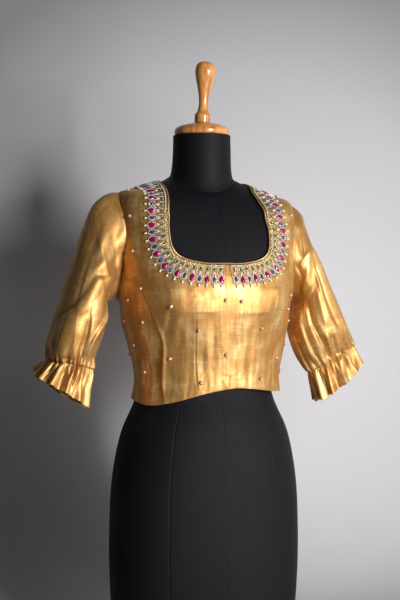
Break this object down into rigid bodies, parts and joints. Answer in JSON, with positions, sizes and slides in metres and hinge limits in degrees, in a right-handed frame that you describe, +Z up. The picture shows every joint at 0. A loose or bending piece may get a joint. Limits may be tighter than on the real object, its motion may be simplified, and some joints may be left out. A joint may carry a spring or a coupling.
{
  "type": "choli blouse on a dress form",
  "caption": "Fitted scoop-neck choli blouse with a jewelled neck border and frilled elbow sleeves, worn on a limbless cloth-covered dress form with a turned wooden neck cap and finial.",
  "frame": {"origin": "centre of the form's flat underside, on the surface it stands on", "axes": "+Z up, the front faces -Y, the wearer's left is +X"},
  "size_m": [0.6067, 0.2521, 1.0002],
  "materials": {
    "silk": "shot copper and gold tissue silk with a metallic sheen",
    "trim": "stones, pearls and metal-thread work on cloth",
    "cord": "gold metal-thread cord",
    "jersey": "matt black stretch jersey",
    "wood": "clear gloss varnish"
  },
  "bodies": {
    "root": {"form_torso": "jersey", "neck_cap": "wood", "finial": "wood", "front_centre_right": "silk", "front_centre_left": "silk", "front_side_right": "silk", "front_side_left": "silk", "back": "silk", "placket": "silk", "neck_binding": "cord", "border_front_right": "trim", "border_front_left": "trim", "border_back": "trim", "sleeve_right": "silk", "sleeve_left": "silk", "frill_right": "silk", "frill_left": "silk"}
  },
  "joints": []
}
